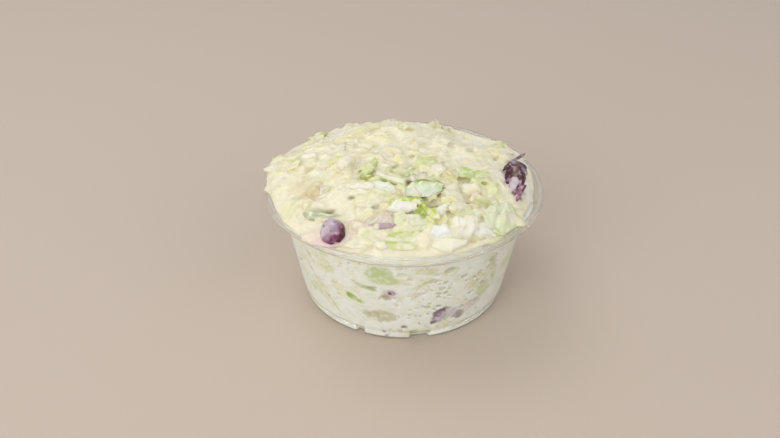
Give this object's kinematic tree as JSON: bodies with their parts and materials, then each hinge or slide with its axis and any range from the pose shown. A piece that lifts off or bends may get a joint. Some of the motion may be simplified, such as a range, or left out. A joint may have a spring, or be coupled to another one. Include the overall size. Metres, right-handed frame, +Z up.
{
  "type": "coleslaw in a clear portion cup",
  "caption": "Creamy coleslaw of white, green and red cabbage, heaped above the rim of a small round clear plastic portion cup with a lid ledge and a notched foot",
  "frame": {"origin": "centre of the cup's foot, on the surface that the cup stands on", "axes": "+Z up along the cup's axis, -Y the front, +X to the right seen from the front"},
  "size_m": [0.074, 0.074, 0.042],
  "materials": {
    "clear_plastic": "thin clear thermoformed PET film, glossy",
    "dressed_cabbage": "chopped cabbage coated in pale cream dressing, moist"
  },
  "bodies": {
    "root": {"cup": "clear_plastic", "slaw": "dressed_cabbage"}
  },
  "joints": []
}
